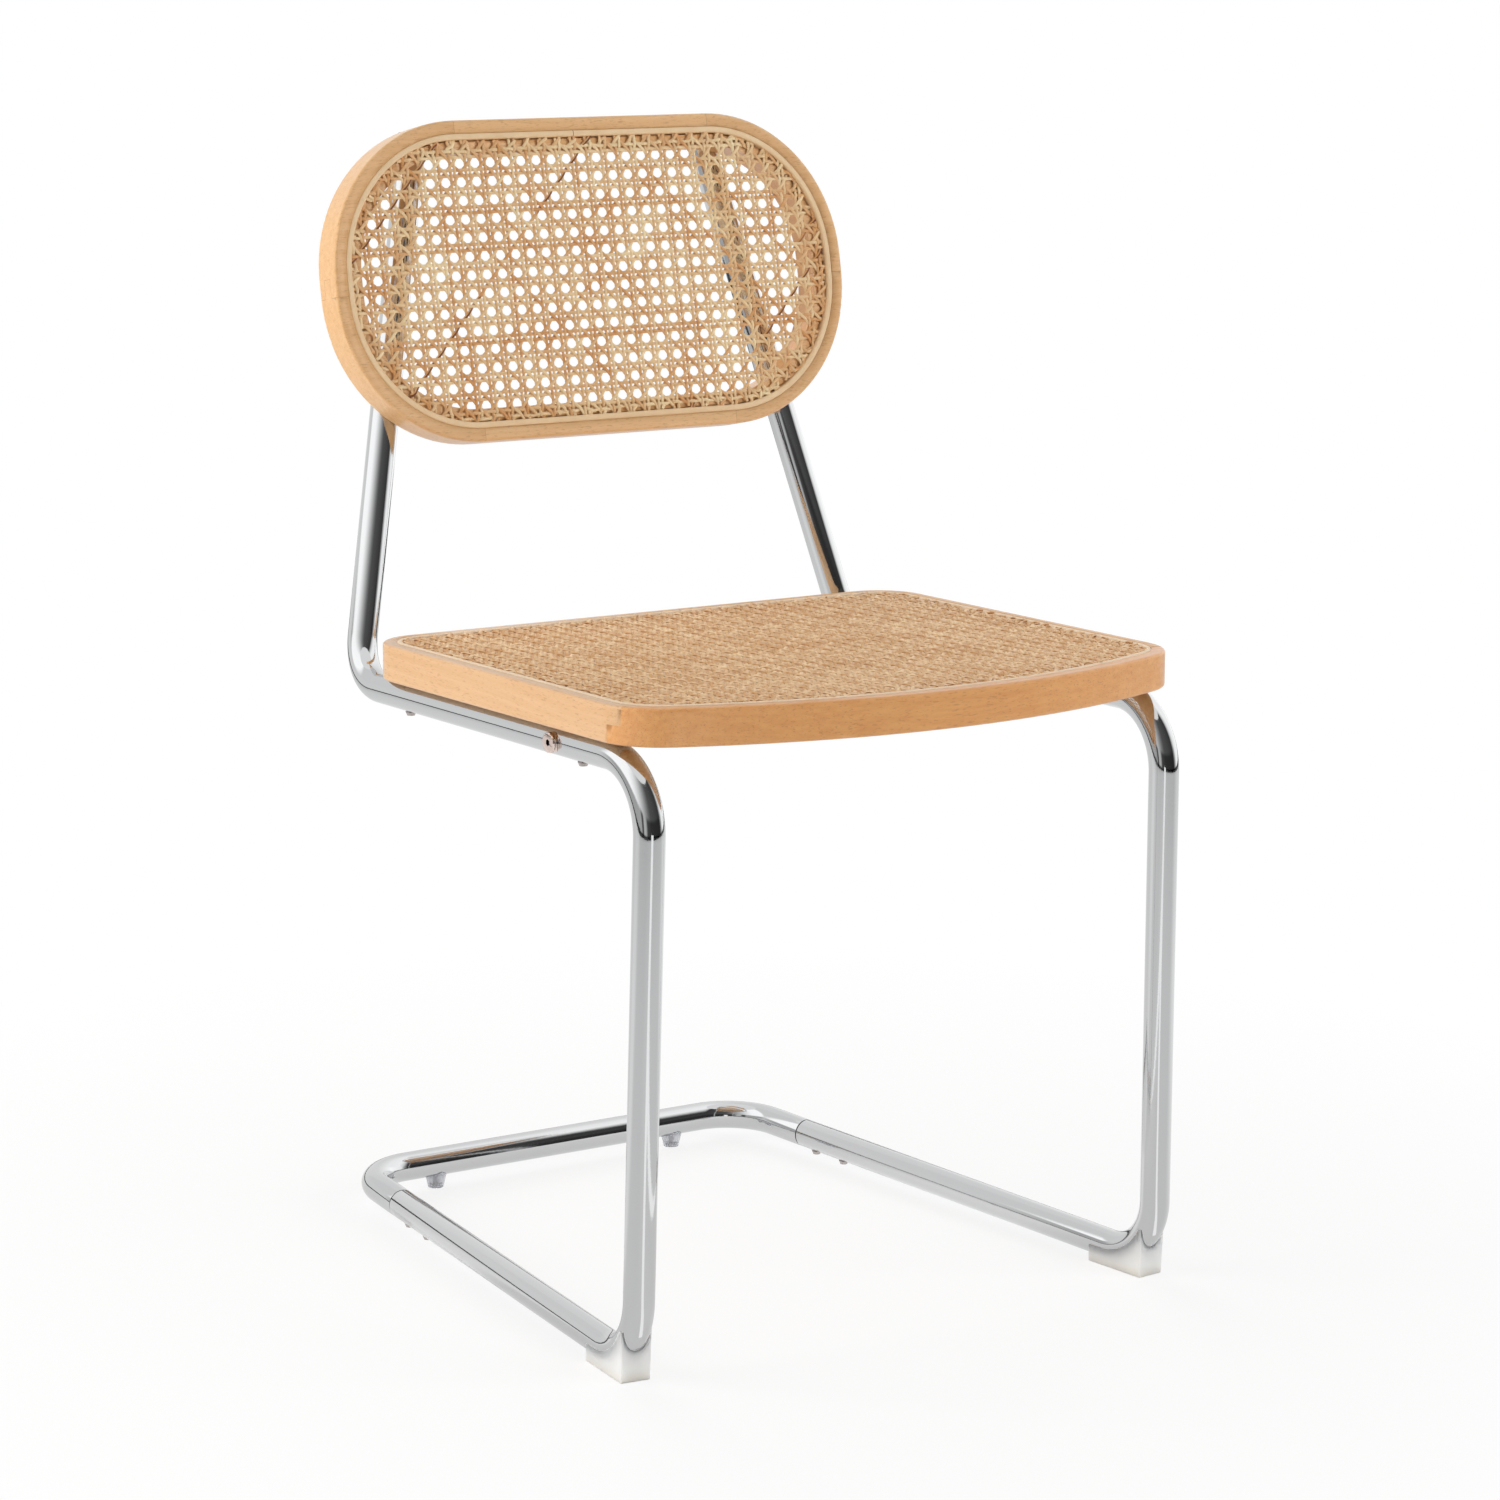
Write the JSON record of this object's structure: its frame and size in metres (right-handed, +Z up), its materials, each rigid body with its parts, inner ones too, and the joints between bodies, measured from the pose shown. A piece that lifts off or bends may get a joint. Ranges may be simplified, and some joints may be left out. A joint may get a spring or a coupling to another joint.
{
  "type": "cantilever chair",
  "caption": "Cantilever dining chair: a bent chromed tube with no back legs carries a caned wooden seat and a racetrack-shaped caned backrest.",
  "frame": {"origin": "on the floor, under the middle of the whole chair's outline", "axes": "+Z up; -Y is the way the sitter faces; +X is to the right as seen from the front"},
  "size_m": [0.4754, 0.5407, 0.828],
  "materials": {
    "chromed_tube": "bright chromed steel tube",
    "beech": "clear-lacquered beech",
    "cane": "open hexagonal cane webbing, natural",
    "reed_spline": "pale reed spline, natural",
    "white_glide": "milky translucent plastic",
    "clear_glide": "clear soft plastic",
    "nickel": "nickel-plated steel fasteners",
    "plain_steel": "plain steel, hidden inside the tube",
    "black_plug": "black plastic"
  },
  "bodies": {
    "root": {"side_tube_left": "chromed_tube", "side_tube_right": "chromed_tube", "rear_base_tube": "chromed_tube", "base_joint_sleeve_left": "plain_steel", "base_joint_sleeve_right": "plain_steel", "base_joint_screws": "nickel", "front_glide_left": "white_glide", "front_glide_right": "white_glide", "rear_glide_left": "clear_glide", "rear_glide_right": "clear_glide", "rear_glide_screws": "nickel", "seat_front_rail": "beech", "seat_rear_rail": "beech", "seat_side_rail_left": "beech", "seat_side_rail_right": "beech", "seat_spline": "reed_spline", "seat_cane": "cane", "seat_screws": "nickel", "seat_stretcher": "chromed_tube", "stretcher_inserts": "plain_steel", "stretcher_washers": "nickel", "stretcher_bolts": "nickel", "backrest_lower_rail": "beech", "backrest_upper_rail": "beech", "backrest_spline": "reed_spline", "backrest_cane": "cane", "backrest_screws": "nickel", "upright_plug_left": "black_plug", "upright_plug_right": "black_plug"}
  },
  "joints": []
}
